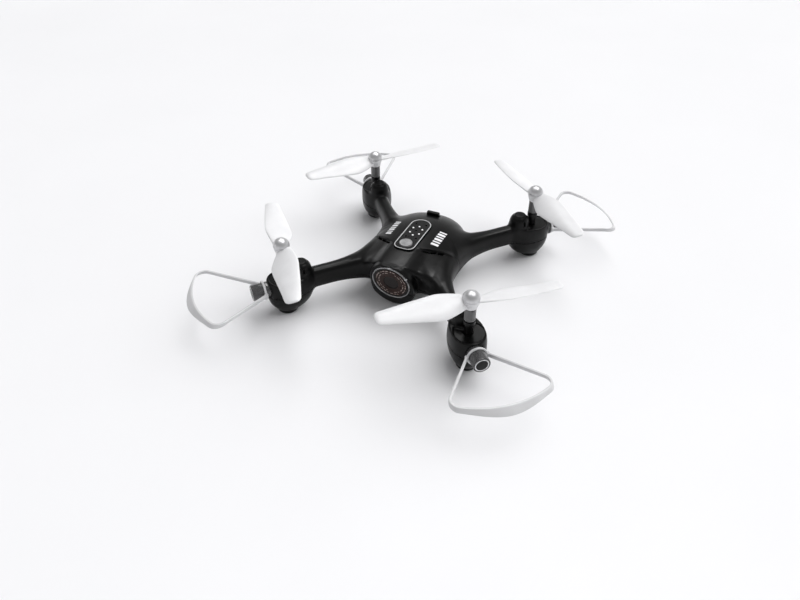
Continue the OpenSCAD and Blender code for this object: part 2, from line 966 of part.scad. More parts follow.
lamp(REAR_LEFT);  // lamp_rear_left
lamp(REAR_RIGHT);  // lamp_rear_right
guard(FRONT_LEFT);  // guard_front_left
guard(FRONT_RIGHT);  // guard_front_right
guard(REAR_LEFT);  // guard_rear_left
guard(REAR_RIGHT);  // guard_rear_right
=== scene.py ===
"""Looks of the mini palm drone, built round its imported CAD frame. Lengths are in millimetres until MM."""

import math

import bpy
import numpy as np
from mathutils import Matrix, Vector


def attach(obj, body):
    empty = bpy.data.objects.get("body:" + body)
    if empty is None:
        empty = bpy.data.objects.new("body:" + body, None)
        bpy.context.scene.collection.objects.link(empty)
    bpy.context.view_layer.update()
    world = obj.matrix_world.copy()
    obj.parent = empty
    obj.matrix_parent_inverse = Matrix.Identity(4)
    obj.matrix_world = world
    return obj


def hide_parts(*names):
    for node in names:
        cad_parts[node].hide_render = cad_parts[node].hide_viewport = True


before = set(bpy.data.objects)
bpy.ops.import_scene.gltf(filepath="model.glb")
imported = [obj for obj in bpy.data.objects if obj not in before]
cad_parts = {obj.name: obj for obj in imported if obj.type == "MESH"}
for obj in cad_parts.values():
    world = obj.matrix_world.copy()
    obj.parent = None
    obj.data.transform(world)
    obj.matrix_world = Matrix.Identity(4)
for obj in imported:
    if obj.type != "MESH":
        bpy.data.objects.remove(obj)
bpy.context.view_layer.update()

MM = 0.001
AXIS_X, AXIS_Y, RIM_Z = 54.6, 56.8, 43.4
ARM_ANGLE = math.radians(49.5)
BELT_Z, SPLIT_Z, WALL = 16.5, 13.6, 1.1
BODY_W, BODY_REAR, HOOD_L, BELLY_L = 28.0, 41.5, 70.0, 33.5
BODY_FRONT, FLAT_Z = -32.6, 5.2
SCOOP_END, SCOOP_SLANT, SCOOP_DEPTH = -13.0, 0.64, 2.0
POD_S, POD_Z, DISH_Z, DISH_FLOOR = -1.2, 15.5, 22.6, 21.8
BUMP_S, BUMP_Z, BUMP_BASE = -9.3, 30.2, 17.0
LAMP_Z, LAMP_R = 17.0, 4.6
PROP_R, CAP_R, HUB_Z = 49.0, 4.6, 38.3
PANEL_TOP, PANEL_W, PANEL_FRONT, PANEL_REAR, PANEL_CORNER = 34.15, 6.2, -19.5, 13.4, 4.2
BUTTON_Y, BUTTON_R = -13.8, 3.7
BEZEL_CENTRE, BEZEL_R, WINDOW_R, TILT = (0.0, -34.2, 19.7), 11.6, 10.4, math.radians(10.5)
GUARD_R, GUARD_CORNER, GUARD_TOP, GUARD_THICK = 51.9, 5.6, 21.9, 1.3
GUARD_HALF, GUARD_SKEW, KNUCKLE_S = math.radians(25.5), math.radians(-1), 13.2
CASE_SCREWS = ((17.0, -21.0), (17.0, 25.0))
POD_SCREW_S = -16.2
LIGHT_SPOTS = [(3.3 * math.sin(a), 0.7 + 4.9 * math.cos(a)) for a in np.radians(range(0, 360, 60))]
VENT_SPOTS = [(-3.2, 8.2), (3.2, 8.2), (0.0, 0.9), (-3.2, -6.9), (3.2, -6.9)]
SHELL_STEP = 0.55
CORNERS = {
    "front_left": (1, -1, 42.6),
    "front_right": (-1, -1, -51.6),
    "rear_left": (1, 1, -45.6),
    "rear_right": (-1, 1, 54.5),
}


# ---------------------------------------------------------------- materials


def noise(tree, coord, scale, detail=3.0, rough=0.55):
    """Soft three-dimensional noise from 0 to 1."""
    node = tree.nodes.new("ShaderNodeTexNoise")
    node.inputs["Scale"].default_value = scale
    node.inputs["Detail"].default_value = detail
    node.inputs["Roughness"].default_value = rough
    tree.links.new(coord.outputs["Object"], node.inputs["Vector"])
    return node.outputs["Fac"]


def ramp(tree, source, low, high, span=(0.3, 0.7)):
    """Colour from low to high as the source crosses the span."""
    node = tree.nodes.new("ShaderNodeValToRGB")
    first, last = node.color_ramp.elements
    first.position, first.color = span[0], (*low, 1)
    last.position, last.color = span[1], (*high, 1)
    tree.links.new(source, node.inputs["Fac"])
    return node.outputs["Color"]


def spread(tree, source, low, high, span=(0.3, 0.7)):
    """Value from low to high as the source crosses the span."""
    node = tree.nodes.new("ShaderNodeMapRange")
    for socket, value in zip(("From Min", "From Max", "To Min", "To Max"), (*span, low, high)):
        node.inputs[socket].default_value = value
    tree.links.new(source, node.inputs["Value"])
    return node.outputs["Result"]


def surface(name, low, high, rough=(0.32, 0.4), cloud=90, smudge=240, grain=2600, bump=0.12, **sockets):
    """Colour drifts between two tones, smudges change the gloss, and a fine grain bumps the surface."""
    material = bpy.data.materials.new(name)
    material.use_nodes = True
    tree = material.node_tree
    shader = tree.nodes["Principled BSDF"]
    coord = tree.nodes.new("ShaderNodeTexCoord")
    tree.links.new(ramp(tree, noise(tree, coord, cloud), low, high), shader.inputs["Base Color"])
    tree.links.new(spread(tree, noise(tree, coord, smudge, 4), *rough), shader.inputs["Roughness"])
    relief = tree.nodes.new("ShaderNodeBump")
    relief.inputs["Strength"].default_value = bump
    relief.inputs["Distance"].default_value = 0.0001
    tree.links.new(noise(tree, coord, grain, 2), relief.inputs["Height"])
    tree.links.new(relief.outputs["Normal"], shader.inputs["Normal"])
    for socket, value in sockets.items():
        shader.inputs[socket.replace("_", " ")].default_value = value
    return material


def grey(value):
    """Neutral tone, a touch cool."""
    return (value, value, value * 1.02)


def make_materials():
    metal = dict(Metallic=1.0, cloud=300, smudge=900, grain=5200)
    return {
        "shell": surface("black_shell", grey(0.0018), grey(0.0028), (0.28, 0.35), bump=0.15,
            Specular_IOR_Level=0.19),
        "panel": surface("black_panel", grey(0.003), grey(0.005), (0.26, 0.34), bump=0.08,
            Specular_IOR_Level=0.22),
        "trim": surface("trim_line", grey(0.50), grey(0.58), (0.4, 0.5)),
        "light": surface("white_light", grey(0.85), grey(0.95), (0.2, 0.3), Emission_Color=(1, 1, 1, 1),
            Emission_Strength=0.25),
        "button": surface("grey_button", grey(0.22), grey(0.36), (0.42, 0.55), cloud=420, grain=1500,
            bump=0.3),
        "board": surface("circuit_board", (0.015, 0.10, 0.03), (0.03, 0.16, 0.05), (0.3, 0.45), cloud=900),
        "red": surface("red_wire", (0.45, 0.02, 0.015), (0.55, 0.04, 0.02), (0.4, 0.5)),
        "cell": surface("cell_wrap", grey(0.5), grey(0.6), (0.25, 0.4), cloud=220),
        "steel": surface("steel", grey(0.52), grey(0.66), (0.22, 0.34), **metal),
        "ring": surface("bright_ring", grey(0.40), grey(0.50), (0.24, 0.34), **metal),
        "glass": surface("camera_glass", (0.006, 0.004, 0.004), (0.010, 0.006, 0.005), (0.16, 0.22),
            bump=0.02, Specular_IOR_Level=0.25),
        "tint": surface("window_tint", (0.016, 0.007, 0.005), (0.028, 0.011, 0.008), (0.25, 0.35),
            bump=0.02, Specular_IOR_Level=0.2),
        "print": surface("dial_marks", (0.24, 0.18, 0.16), (0.44, 0.37, 0.34), (0.4, 0.5), cloud=700),
        "bronze": surface("bronze", (0.5, 0.3, 0.12), (0.6, 0.38, 0.17), (0.3, 0.4), **metal),
        "blue": surface("blue_wire", (0.02, 0.06, 0.35), (0.03, 0.09, 0.42), (0.4, 0.5)),
        "white": surface("white_plastic", grey(0.76), grey(0.82), (0.32, 0.40), bump=0.06,
            Subsurface_Weight=0.05, Subsurface_Radius=(0.001, 0.001, 0.001)),
        "gear": surface("white_gear", grey(0.72), grey(0.80), (0.35, 0.45), bump=0.1),
        "cap": surface("grey_cap", grey(0.60), grey(0.66), (0.38, 0.44), smudge=500, bump=0.02,
            Metallic=0.85),
        "sleeve": surface("dark_sleeve", grey(0.11), grey(0.15), (0.32, 0.42), Metallic=0.25),
        "brass": surface("brass_pinion", (0.62, 0.44, 0.18), (0.72, 0.55, 0.26), (0.25, 0.35), **metal),
        "lens": surface("smoked_lens", grey(0.13), grey(0.18), (0.05, 0.09), bump=0.02,
            Transmission_Weight=0.55, IOR=1.49),
        "reflector": surface("lamp_reflector", grey(0.62), grey(0.75), (0.2, 0.3), Metallic=0.6),
        "guard": surface("guard_plastic", grey(0.62), grey(0.68), (0.34, 0.44), bump=0.1),
        "mark": surface("white_print", grey(0.78), grey(0.86), (0.4, 0.5), grain=4000),
    }


# ---------------------------------------------------------------- mesh helpers


def piece(name, vertices, faces, material, body="airframe", replaces=(), slot=None, normals=None, sharp=32):
    """A mesh object made from millimetres, smooth except along edges sharper than sharp degrees."""
    mesh = bpy.data.meshes.new(name)
    mesh.from_pydata((np.asarray(vertices) * MM).tolist(), [], [list(map(int, f)) for f in faces])
    mesh.validate()
    mesh.shade_smooth()
    if normals is not None:
        mesh.normals_split_custom_set_from_vertices(np.asarray(normals).tolist())
    else:
        mesh.set_sharp_from_angle(angle=math.radians(sharp))
    mesh.materials.append(material)
    made = bpy.data.objects.new(name, mesh)
    bpy.context.scene.collection.objects.link(made)
    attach(made, body)
    if replaces:
        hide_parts(*replaces)
    return made


def join(parts):
    """One vertex and face list from several."""
    vertices, faces, base = [], [], 0
    for points, polygons in parts:
        vertices.append(np.asarray(points, float))
        faces += [[base + i for i in polygon] for polygon in polygons]
        base += len(points)
    return np.vstack(vertices), faces


def soften(points, radius, closed=False, steps=3):
    """Round the corners of a profile."""
    points = [np.array(p, float) for p in points]
    out, count = [], len(points)
    for i, p in enumerate(points):
        if not closed and i in (0, count - 1):
            out.append(p)
            continue
        before, after = points[i - 1] - p, points[(i + 1) % count] - p
        reach = min(radius, np.linalg.norm(before) * 0.45, np.linalg.norm(after) * 0.45)
        a, b = p + before / np.linalg.norm(before) * reach, p + after / np.linalg.norm(after) * reach
        for t in np.linspace(0, 1, steps + 1):
            out.append((1 - t) ** 2 * a + 2 * t * (1 - t) * p + t * t * b)
    return np.array(out)


def ring_quads(rows, count, closed):
    """Quads between rows of points that each run round in a ring; closed joins the last row to the first."""
    faces = []
    for j in range(rows if closed else rows - 1):
        for i in range(count):
            k, n = (i + 1) % count, (j + 1) % rows
            faces.append([j * count + i, j * count + k, n * count + k, n * count + i])
    return faces


def lathe(profile, count=64, closed=True):
    """Turn a profile of (radius, height) about Z. An open profile starts and ends on the axis."""
    profile = np.asarray(profile, float)
    inner = profile if closed else profile[1:-1]
    angle = np.linspace(0, 2 * math.pi, count, endpoint=False)
    vertices = np.array([[r * math.cos(a), r * math.sin(a), z] for r, z in inner for a in angle])
    rows = len(inner)
    faces = ring_quads(rows, count, closed)
    if not closed:
        first, last = len(vertices), len(vertices) + 1
        vertices = np.vstack([vertices, [[0, 0, profile[0][1]], [0, 0, profile[-1][1]]]])
        faces += [[first, (i + 1) % count, i] for i in range(count)]
        top = (rows - 1) * count
        faces += [[last, top + i, top + (i + 1) % count] for i in range(count)]
    return vertices, faces


def loft(rings, closed=False):
    """Skin rings of points; the ends are capped unless the rings run round to the start."""
    rings = np.asarray(rings, float)
    rows, count = rings.shape[:2]
    vertices, faces = rings.reshape(-1, 3), ring_quads(rows, count, closed)
    if not closed:
        faces.append(list(range(count))[::-1])
        faces.append([(rows - 1) * count + i for i in range(count)])
    return vertices, faces


def outward(vertices, faces):
    """Faces turned so that the closed surface holds a positive volume."""
    vertices = np.asarray(vertices, float)
    volume = 0.0
    for face in faces:
        a = vertices[face[0]]
        for b, c in zip(face[1:-1], face[2:]):
            volume += np.dot(a, np.cross(vertices[b], vertices[c]))
    return faces if volume > 0 else [face[::-1] for face in faces]


def heading(a):
    """Unit vector in plan at an angle."""
    return np.array([math.cos(a), math.sin(a)])


def squarish(value, power):
    """Push a cosine or a sine towards 1 or -1, which turns a round section into a squarer one."""
    return math.copysign(abs(value) ** power, value)


def turn_about_z(a):
    return np.array([[math.cos(a), -math.sin(a), 0], [math.sin(a), math.cos(a), 0], [0, 0, 1]])


def pod_matrix(corner):
    """Rotation of pod coordinates, outboard along +X, into the frame."""
    sx, sy = corner[:2]
    return turn_about_z(math.atan2(sy * math.sin(ARM_ANGLE), sx * math.cos(ARM_ANGLE)))


def rotor_axis(corner):
    return np.array([corner[0] * AXIS_X, corner[1] * AXIS_Y, 0])


def at_pod(corner, points):
    """Pod coordinates, with the rotor axis at the origin, into the frame."""
    return np.asarray(points, float) @ pod_matrix(corner).T + rotor_axis(corner)


def at_rotor(corner, vertices, faces):
    """Turn a propeller part to its rest angle; two of the four propellers are mirror images."""
    if corner[0] * corner[1] < 0:
        vertices, faces = vertices * [1, -1, 1], [face[::-1] for face in faces]
    return vertices @ turn_about_z(math.radians(corner[2])).T + rotor_axis(corner), faces


def along_lamp(points):
    """Turn a lathed part so that its axis lies along the lamp, outboard."""
    points = np.asarray(points, float)
    return np.column_stack([points[:, 2], points[:, 1], LAMP_Z - points[:, 0]])


def sight_frame(y, z):
    """Height up the bezel and distance ahead along the line of sight."""
    dy, dz, cos, sin = y - BEZEL_CENTRE[1], z - BEZEL_CENTRE[2], math.cos(TILT), math.sin(TILT)
    return dz * cos - dy * sin, -dy * cos - dz * sin


def at_camera(points):
    """Camera frame, +Z along the line of sight and +Y up the bezel, into the frame."""
    a = math.pi / 2 + TILT
    turn = np.array([[1, 0, 0], [0, math.cos(a), -math.sin(a)], [0, math.sin(a), math.cos(a)]])
    return np.asarray(points, float) @ turn.T + BEZEL_CENTRE


# ---------------------------------------------------------------- distance fields


def smin(a, b, k):
    """Union of two fields with a fillet of about k; smax is the intersection."""
    h = np.clip(0.5 + 0.5 * (b - a) / k, 0, 1)
    return b + (a - b) * h - k * h * (1 - h)


def smax(a, b, k):
    return -smin(-a, -b, k)


def egg(x, y, z, width, length, height, p, q):
    """Rounded closed body: plan exponent p and height exponent q."""
    u, v, h = np.abs(x) / width, np.abs(y) / length, np.abs(z) / height
    rho = (u**p + v**p + 1e-9) ** (1 / p)
    g = (rho**q + h**q + 1e-9) ** (1 / q)
    share = (rho / g) ** (q - 1)
    slope = (share * (u / rho) ** (p - 1) / width) ** 2 + (share * (v / rho) ** (p - 1) / length) ** 2
    slope += ((h / g) ** (q - 1) / height) ** 2
    return (g - 1) / np.sqrt(slope + 1e-9)


def body_form(x, y, z):
    """Full-width hood above the belt; below it the front draws in under the hood."""
    h = z - BELT_Z
    height, q = np.where(h > 0, 17.4, 12.0), np.where(h > 0, 2.1, 2.8)
    hood = egg(x, y, h, BODY_W, np.where(y > 0, BODY_REAR, HOOD_L), height, 2.35, q)
    belly = egg(x, y, h, BODY_W, np.where(y > 0, BODY_REAR, BELLY_L), height, 2.35, q)
    t = np.clip((h + 2.5) / 4.0, 0, 1)
    form = belly + (hood - belly) * t * t * (3 - 2 * t)
    soft = 0.6 + 5.0 * np.clip((np.abs(x) - 9.0) / 11.0, 0, 1)
    form = smax(form, BODY_FRONT + 0.45 * np.clip(27.0 - z, 0, 12) - y, soft)
    return smax(form, FLAT_Z - z, 1.0)


def step_line(x, y):
    """Plan distance behind the slanted step where a scoop ends."""
    return (y - SCOOP_END - SCOOP_SLANT * (x - 9.5)) / math.hypot(1, SCOOP_SLANT)


def scooped(form, x, y):
    """Carve a shallow channel on either side of the ridge, with an upright rear step."""
    t = np.clip((-11.0 - y) / 22.0, 0, 1)
    inner = np.clip((x - 6.5) / 8.0, 0, 1)
    outer = np.clip((26.5 + 2.0 * t - x) / 6.5, 0, 1)
    depth = SCOOP_DEPTH * (inner * outer) ** 2 * (3 - 2 * inner) * (3 - 2 * outer)
    return smax(form, -smax(step_line(x, y), -form - depth, 0.25), 0.25)


def nose_form(x, y, z):
    """Rounded nacelle behind the bezel: a barrel along the line of sight, kept just under the hood's lip."""
    up, ahead = sight_frame(y, z)
    barrel = np.hypot(x, up - np.clip(up, -4.8, 0.0)) - 13.4
    face = ahead + 0.2 - 0.1 * np.clip(up + 11.0, -20.0, 0.0)
    return smax(smax(smax(barrel, face, 1.2), z - 31.9, 0.8), -ahead - 21.0, 1.0)


def pod_frame(x, y):
    """Distance outboard of the rotor axis along the arm, and across it."""
    dx, dy, cos, sin = x - AXIS_X, np.abs(y) - AXIS_Y, math.cos(ARM_ANGLE), math.sin(ARM_ANGLE)
    return dx * cos + dy * sin, dy * cos - dx * sin


def arm_form(s, t, z):
    """Slender arm that swells into the body and a little into the pod."""
    d = np.clip(-s, 4.0, 60.0)
    flare = (np.maximum(0, d - 26) / 30) ** 2
    half = 4.7 + 7 * flare + 0.9 * (np.maximum(0, 16 - d) / 8) ** 2
    top = 23.6 + 3 * flare - 1.6 * (np.maximum(0, 16 - d) / 8) ** 2
    low = 11.2 - 4 * flare - 1.5 * (np.maximum(0, 18 - d) / 10) ** 2
    tall = (top - low) / 2
    u, v = np.abs(t) / half, np.abs(z - (top + low) / 2) / tall
    g = (u**2.5 + v**2.5 + 1e-9) ** 0.4
    form = (g - 1) / np.sqrt(((u / g) ** 1.5 / half) ** 2 + ((v / g) ** 1.5 / tall) ** 2 + 1e-9)
    return smax(smax(form, -s - 59.0, 1.0), s + 5.0, 1.0)


def pod_form(s, t, z):
    """Rounded pod, cut flat under the rotor, that draws in towards the foot."""
    along, h = s - POD_S, z - POD_Z
    under = 2.7 - 0.5 * np.clip(-along / 8.0, 0, 1)
    length, height = np.where(along > 0, 12.9, 14.2), np.where(h > 0, 14.5, 14.0)
    form = egg(t, along, h, 9.6, length, height, 2.2, np.where(h > 0, 2.3, under))
    return smax(form, z - DISH_Z, 0.8)


def foot_form(s, t, z):
    """Round foot with a bevelled sole and a small step above it."""
    reach = np.interp(z, (0.0, 0.7, 3.4, 3.9, 7.0), (5.2, 5.8, 6.2, 6.7, 7.4))
    cone = (np.hypot(s - 0.8, t) - reach) * 0.97
    return smax(cone, np.abs(z - 3.0) - 3.4, 0.4)


def bump_form(s, t, z):
    """Raised cover of the motor, with a shallow disc on top."""
    h = z - BUMP_BASE
    height, square = np.where(h > 0, BUMP_Z - BUMP_BASE, 4.0), np.where(h > 0, 4.0, 2.0)
    form = egg(s - BUMP_S, t, h, 6.3, 6.5, height, 2.0, square)
    disc = smax(np.hypot(s - BUMP_S, t) - 3.5, np.abs(z - BUMP_Z + 2.0) - 2.35, 0.35)
    return smin(form, disc, 0.5)


def outer_form(x, y, z):
    """Distance to the outside of both shells together."""
    x = np.abs(x)
    s, t = pod_frame(x, y)
    form = scooped(body_form(x, y, z), x, y)
    arm, pod = arm_form(s, t, z), smin(pod_form(s, t, z), foot_form(s, t, z), 1.4)
    form = smin(form, smin(arm, pod, 2.5), 4.5)
    form = smin(form, nose_form(x, y, z), 0.4)
    dish = smax(np.hypot(s - 1.0, t) - 8.5, DISH_FLOOR - z, 0.9)
    form = smax(form, -smax(dish, z - 26.0, 0.5), 0.6)
    form = smin(form, bump_form(s, t, z), 1.6)
    slot = np.maximum(np.abs(s - BUMP_S) - 0.55, np.abs(np.abs(t) - 5.9) - 1.2)
    slot = np.maximum(slot, np.abs(z - 26.4) - 1.3)
    form = smax(form, -slot, 0.25)
    return smax(form, -z, 0.3)


def panel_edge(x, y):
    """Plan distance to the outline of the deck panel."""
    middle = (PANEL_FRONT + PANEL_CORNER + PANEL_REAR - PANEL_W) / 2
    rear = np.hypot(x, y - (PANEL_REAR - PANEL_W)) - PANEL_W
    cx, cy = np.abs(x) - (PANEL_W - PANEL_CORNER), (PANEL_FRONT + PANEL_CORNER) - y
    front = np.hypot(np.maximum(cx, 0), np.maximum(cy, 0)) + np.minimum(np.maximum(cx, cy), 0) - PANEL_CORNER
    return np.where(y > PANEL_REAR - PANEL_W, rear, np.where(y < middle, front, np.abs(x) - PANEL_W))


def openings(x, y, z):
    """Distance to what passes through the shells."""
    s, t = pod_frame(np.abs(x), y)
    up, ahead = sight_frame(y, z)
    edge = panel_edge(x, y)
    cuts = [
        # lamp sockets
        np.maximum(np.hypot(t, z - LAMP_Z) - LAMP_R - 0.15, np.abs(s - 12.9) - 3.1),
        # camera port
        np.maximum(np.hypot(x, up) - BEZEL_R - 0.15, np.abs(ahead - 1.8) - 3.8),
        # necks of the motor carriers, in the dishes
        np.maximum(np.hypot(s, t) - 2.33, np.abs(z - DISH_FLOOR) - 4.0),
        # seat of the deck panel, and the opening under it
        np.maximum(edge - 0.15, PANEL_TOP - 1.2 - z),
        np.maximum(edge + 1.4, 25.0 - z),
    ]
    for middle in (11.6, 15.3, 19.0):
        vent = np.maximum(np.abs(step_line(np.abs(x), y) + 0.85) - 0.55, np.abs(np.abs(x) - middle) - 1.35)
        cuts.append(np.maximum(vent, 24.0 - z))
    return np.minimum.reduce(cuts)


def shell(x, y, z):
    """Both shells: a wall under the outer form, with its openings and the notch of the port cover."""
    outer = outer_form(x, y, z)
    form = smax(outer, -outer - WALL, 0.3)
    notch = np.maximum(np.maximum(np.abs(x) - 4.1, np.abs(y - 27.0) - 1.3), np.abs(z - 31.0) - 2.2)
    return smax(form, -np.minimum(openings(x, y, z), notch), 0.35)


def upper_field(p):
    """Upper shell: all that lies above the parting line."""
    x, y, z = p.T
    return smax(shell(x, y, z), SPLIT_Z + 0.03 - z, 0.12)


def lower_field(p):
    """Lower shell: screw bosses and their wells, and the seat and opening of the battery hatch."""
    x, y, z = p.T
    outer = outer_form(x, y, z)
    ax = np.abs(x)
    s, t = pod_frame(ax, y)
    wells = [(np.hypot(ax - sx, y - sy), 9.3) for sx, sy in CASE_SCREWS]
    wells.append((np.hypot(s - POD_SCREW_S, t), 12.5))
    form = shell(x, y, z)
    for reach, top in wells:
        boss = np.maximum(reach - 2.9, z - top - 1.0)
        form = np.minimum(form, smax(outer, boss, 0.3))
        form = smax(form, -np.maximum(reach - 1.8, z - top), 0.3)
        form = smax(form, -(reach - 1.0), 0.2)
    hatch = np.maximum(ax - 11.45, np.abs(y - 5.4) - 20.15)
    seat = np.maximum(np.maximum(ax - 12.6, np.abs(y - 5.4) - 21.4), np.abs(z - 6.4) - 1.1)
    form = np.minimum(form, np.maximum(seat, outer))
    form = smax(form, -np.maximum(hatch, z - 6.6), 0.25)
    form = smax(form, -np.maximum(np.maximum(ax - 10.1, np.abs(y - 5.4) - 17.5), z - 9.0), 0.25)
    return smax(form, z - SPLIT_Z + 0.03, 0.12)


def grid_nodes(counts):
    """Whole-number places of a grid, one a row."""
    return np.stack(np.meshgrid(*[np.arange(n) for n in counts], indexing="ij"), -1).reshape(-1, 3)


def sample(field, low, high, step, band=None):
    """Values of a field on a grid. With a band, only blocks near the outer form are worked out."""
    counts = np.ceil((np.array(high) - low) / step).astype(int) + 1
    if band is None:
        return field(grid_nodes(counts) * step + low).reshape(counts)
    block, far_outside = 4, 5.0
    blocks = grid_nodes(-(-counts // block))
    centre = (blocks * block + (block - 1) / 2) * step + low
    near = np.abs(outer_form(*centre.T) + WALL / 2) < band + block * step
    nodes = (blocks[near][:, None] * block + grid_nodes([block] * 3)[None]).reshape(-1, 3)
    nodes = nodes[(nodes < counts).all(1)]
    values = np.full(counts, far_outside)
    values[tuple(nodes.T)] = field(nodes * step + low)
    return values


def surface_net(values, low, step):
    """Closed quad mesh round the nodes below zero."""
    inside, shape = values < 0, np.array(values.shape)
    cells, places = [], []
    for axis in range(3):
        u, v = (axis + 1) % 3, (axis + 2) % 3
        near = tuple(slice(0, -1) if k == axis else slice(None) for k in range(3))
        far = tuple(slice(1, None) if k == axis else slice(None) for k in range(3))
        node = np.argwhere(inside[near] != inside[far])
        fits = (node[:, (u, v)] > 0) & (node[:, (u, v)] < shape[[u, v]] - 1)
        node = node[fits.all(1)]
        after = node.copy()
        after[:, axis] += 1
        a, b = values[tuple(node.T)], values[tuple(after.T)]
        place = node.astype(float)
        place[:, axis] += a / (a - b)
        quad = []
        for du, dv in ((-1, -1), (0, -1), (0, 0), (-1, 0)):
            cell = node.copy()
            cell[:, u] += du
            cell[:, v] += dv
            quad.append(np.ravel_multi_index(tuple(cell.T), tuple(shape)))
        quad = np.stack(quad, 1)
        quad[a > 0] = quad[a > 0][:, ::-1]
        cells.append(quad)
        places.append(np.repeat(place[:, None], 4, 1))
    cells, places = np.vstack(cells), np.vstack(places).reshape(-1, 3)
    _, faces = np.unique(cells.ravel(), return_inverse=True)
    count = np.bincount(faces)
    vertices = np.stack([np.bincount(faces, weights=places[:, k]) / count for k in range(3)], 1)
    return vertices * step + low, faces.reshape(-1, 4)


def gradient(field, points, reach):
    """Slope of a field by central differences."""
    rises = [field(points + reach * axis) - field(points - reach * axis) for axis in np.eye(3)]
    return np.stack(rises, 1) / (2 * reach)


def settle(field, vertices, faces, step, rounds=2, evenings=2):
    """Even out the net, then move its vertices onto the field's zero."""
    edges = np.vstack([faces[:, (i, (i + 1) % 4)] for i in range(4)])
    count = np.bincount(edges[:, 0], minlength=len(vertices))
    for _ in range(evenings):
        sums = [np.bincount(edges[:, 0], vertices[edges[:, 1], k], len(vertices)) for k in range(3)]
        around = np.stack(sums, 1)
        vertices = 0.5 * vertices + 0.5 * around / count[:, None]
    for _ in range(rounds):
        slope = gradient(field, vertices, 0.03)
        move = field(vertices) / np.maximum((slope**2).sum(1), 0.05)
        vertices = vertices - np.clip(move, -0.6 * step, 0.6 * step)[:, None] * slope
    normals = gradient(field, vertices, 0.1)
    return vertices, normals / np.maximum(np.linalg.norm(normals, axis=1), 1e-6)[:, None]


def carve(field, low, high, step, band=None, mirror=False):
    """Mesh of a field's solid; with mirror, only the half at +X is sampled."""
    low = np.array([step / 2 if mirror else low[0], low[1], low[2]])
    values = sample(field, low, high, step, band)
    if mirror:
        low[0] -= step * len(values)
        values = np.concatenate([values[::-1], values])
    vertices, faces = surface_net(values, low, step)
    vertices, normals = settle(field, vertices, faces, step)
    return vertices, faces, normals


def make_shells(look):
    """Both halves of the case, sampled near their walls only."""
    for name, field, bottom, top, band in (
        ("upper_shell", upper_field, 12.6, 36.2, 4.5),
        ("lower_shell", lower_field, -1.1, 14.6, 7.5),
    ):
        low, high = (0, -72, bottom), (68.5, 72, top)
        vertices, faces, normals = carve(field, low, high, SHELL_STEP, band, mirror=True)
        piece(f"{name}_skin", vertices, faces, look["shell"], replaces=(name,), slot="black_shell",
            normals=normals)


# ---------------------------------------------------------------- deck


def deck_height(x, y):
    """Height of the outside of the upper shell at a place on the deck."""
    low, high = np.full(np.shape(x), 20.0), np.full(np.shape(x), 36.0)
    for _ in range(24):
        middle = (low + high) / 2
        solid = outer_form(x, y, middle) < 0
        low, high = np.where(solid, middle, low), np.where(solid, high, middle)
    return low


def panel_field(p):
    """Deck panel: a plate with the button's collar below it, and holes for the lights, vents and button."""
    x, y, z = p.T
    plate = smax(panel_edge(x, y), np.abs(z - PANEL_TOP + 0.6) - 0.6, 0.35)
    collar = np.maximum(np.hypot(x, y - BUTTON_Y) - BUTTON_R - 0.7, np.abs(z - PANEL_TOP + 1.4) - 1.0)
    form = np.minimum(plate, collar)
    for spots, r in ((LIGHT_SPOTS, 0.62), (VENT_SPOTS, 0.65)):
        for sx, sy in spots:
            form = smax(form, r - np.hypot(x - sx, y - sy), 0.2)
    return smax(form, BUTTON_R + 0.25 - np.hypot(x, y - BUTTON_Y), 0.2)


def outline_path(inset, count=14):
    """Points and outward directions round the deck panel."""
    spots = []
    r = PANEL_W - inset
    for a in np.linspace(0, math.pi, 2 * count):
        spots.append((r * math.cos(a), PANEL_REAR - PANEL_W + r * math.sin(a), math.cos(a), math.sin(a)))
    r = PANEL_CORNER - inset
    for side, start in ((-1, math.pi), (1, 1.5 * math.pi)):
        for a in np.linspace(start, start + math.pi / 2, count):
            spots.append((side * (PANEL_W - PANEL_CORNER) + r * math.cos(a),
                PANEL_FRONT + PANEL_CORNER + r * math.sin(a), math.cos(a), math.sin(a)))
    return spots


def make_panel(look):
    """The panel and the pale line round its edge."""
    low, high = (-7.0, -20.3, PANEL_TOP - 2.9), (7.0, 14.2, PANEL_TOP + 0.5)
    vertices, faces, normals = carve(panel_field, low, high, 0.24)
    piece("deck_panel_plate", vertices, faces, look["panel"], replaces=("deck_panel",), slot="black_panel",
        normals=normals)
    section = [(math.cos(a), math.sin(a)) for a in np.linspace(0, 2 * math.pi, 10, endpoint=False)]
    rings = [
        [(x + 0.27 * u * nx, y + 0.27 * u * ny, PANEL_TOP + 0.02 + 0.16 * v) for u, v in section]
        for x, y, nx, ny in outline_path(0.25)
    ]
    vertices, faces = loft(rings, closed=True)
    piece("panel_line", vertices, outward(vertices, faces), look["trim"])


def make_lights(look):
    """Six small domed lenses in the panel."""
    foot, crown = PANEL_TOP - 2, PANEL_TOP + 0.2
    dome = soften([(0, foot), (0.54, foot), (0.54, crown - 0.08), (0, crown)], 0.2)
    parts = []
    for x, y in LIGHT_SPOTS:
        vertices, faces = lathe(dome, 24, closed=False)
        parts.append((vertices + [x, y, 0], outward(vertices, faces)))
    piece("deck_light_lenses", *join(parts), look["light"], replaces=("deck_lights",), slot="white_light")


def make_button(look):
    """Round power button with a shallow ring groove, on its stem."""
    top = PANEL_TOP + 0.8
    profile = [(0, 29.05), (1.4, 29.05), (1.4, 32.4), (BUTTON_R, 32.4), (BUTTON_R, top - 0.05), (3.15, top),
        (3.0, top - 0.14), (2.5, top - 0.14), (2.35, top), (0, top)]
    vertices, faces = lathe(soften(profile, 0.16), 72, closed=False)
    piece("power_button_cap", vertices + [0, BUTTON_Y, 0], outward(vertices, faces), look["button"],
        "button", ("power_button",), "grey_button")


